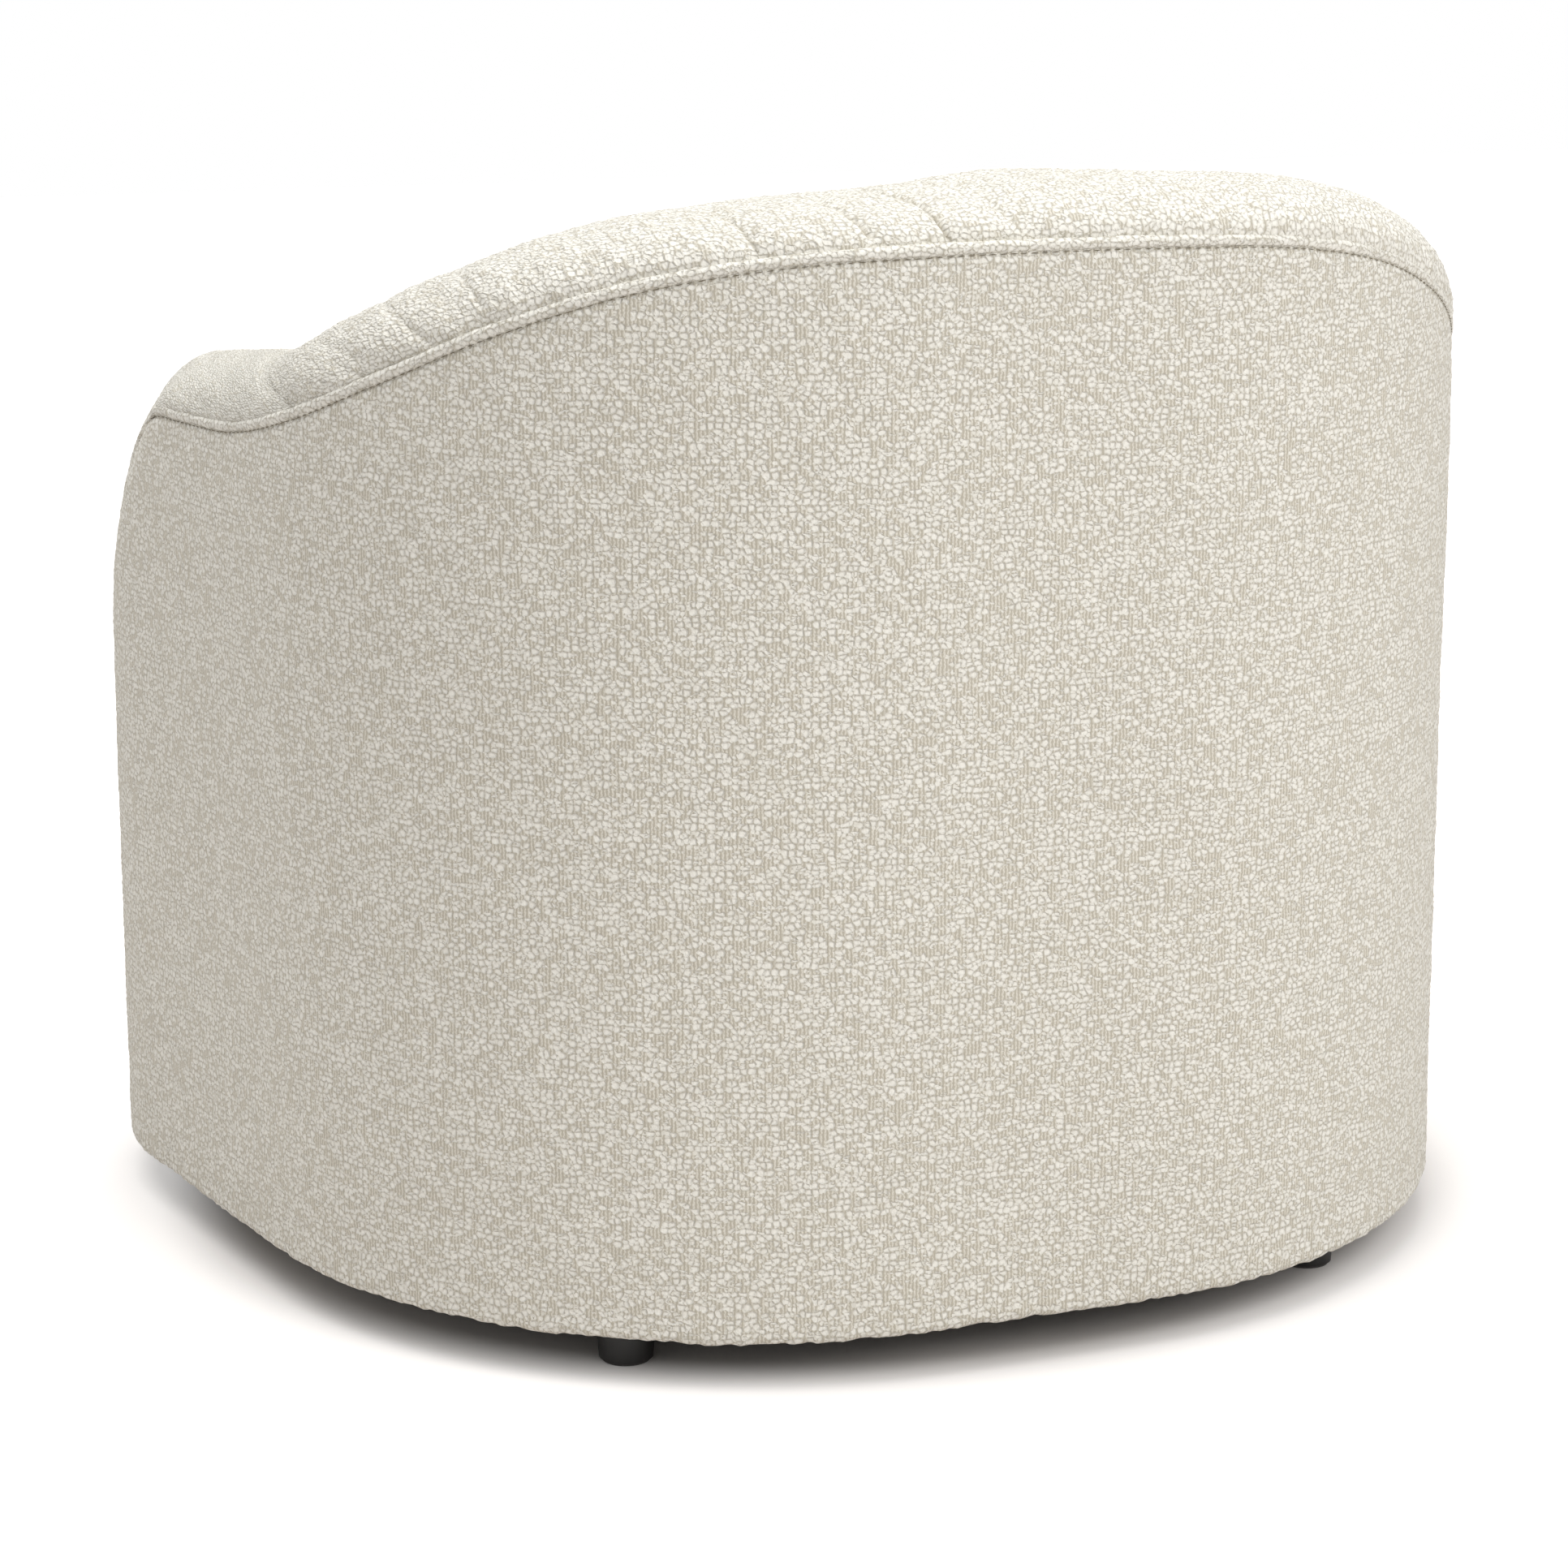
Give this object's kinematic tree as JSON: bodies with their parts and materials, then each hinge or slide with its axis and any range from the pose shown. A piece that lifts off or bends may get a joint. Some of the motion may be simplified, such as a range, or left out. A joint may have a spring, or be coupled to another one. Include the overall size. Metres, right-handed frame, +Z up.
{
  "type": "barrel tub chair",
  "caption": "Low barrel tub chair with a wraparound padded wall, gathered inside cover, self welt, loose box seat cushion and short round feet.",
  "frame": {"origin": "on the floor, at the middle of the chair's length and width", "axes": "+Z up, -Y to the front of the seat, +X to the sitter's left"},
  "size_m": [0.8386, 0.765, 0.6867],
  "materials": {
    "cover_cloth": "cream looped wool cloth, matt, fine ribbed ground",
    "plywood": "birch plywood, unfinished",
    "timber": "beech, planed, unfinished",
    "steel": "zinc plated steel",
    "board": "stiff grey-brown card",
    "felt": "pressed felt",
    "foam": "soft foam, pale yellow",
    "wadding": "white polyester wadding",
    "lining": "plain woven lining",
    "webbing": "black elastic webbing and tape",
    "dust_cloth": "black spunbonded cloth",
    "foot_stain": "turned beech, stained black, matt",
    "glide": "grey felt-like glide"
  },
  "bodies": {
    "chair": {"base_board_front": "plywood", "base_board_back": "plywood", "base_board_left": "plywood", "base_board_right": "plywood", "front_rail": "timber", "back_rail": "timber", "side_rail_left": "timber", "side_rail_right": "timber", "corner_blocks": "timber", "block_screws": "steel", "back_posts": "timber", "arm_posts": "timber", "lower_back_rail": "plywood", "top_rail_back": "plywood", "top_rail_left": "plywood", "top_rail_right": "plywood", "arm_board_left": "plywood", "arm_board_right": "plywood", "seat_springs": "steel", "spring_clips": "steel", "spring_felt": "felt", "deck_foam": "foam", "deck_cloth": "lining", "back_webbing": "webbing", "arm_panel_left": "board", "arm_panel_right": "board", "back_foam": "foam", "arm_foam_left": "foam", "arm_foam_right": "foam", "roll_foam": "foam", "roll_wadding": "wadding", "nose_foam_left": "foam", "nose_foam_right": "foam", "apron_foam": "foam", "outer_liner": "board", "nose_liner_left": "board", "nose_liner_right": "board", "outer_wadding": "wadding", "tack_strip": "board", "outside_cover": "cover_cloth", "gathered_cover": "cover_cloth", "arm_front_cover_left": "cover_cloth", "arm_front_cover_right": "cover_cloth", "apron_cover": "cover_cloth", "seam_welt": "cover_cloth", "dust_cover": "dust_cloth", "feet": "foot_stain", "foot_glides": "glide", "foot_bolts": "steel", "tee_nuts": "steel"},
    "seat_cushion": {"cushion_foam": "foam", "cushion_fibre_top": "wadding", "cushion_fibre_base": "wadding", "cushion_top_panel": "cover_cloth", "cushion_boxing": "cover_cloth", "cushion_base_panel": "cover_cloth", "cushion_welts": "cover_cloth", "zip_tape": "webbing"},
    "zip_slider_body": {"zip_slider": "steel"}
  },
  "joints": [
    {"name": "cushion_lift", "type": "slide", "parent": "chair", "child": "seat_cushion", "axis": [0, 0, 1], "range_m": [0, 0.45]},
    {"name": "zip_pull", "type": "slide", "parent": "seat_cushion", "child": "zip_slider_body", "axis": [1, 0, 0], "range_m": [0, 0.094]}
  ]
}
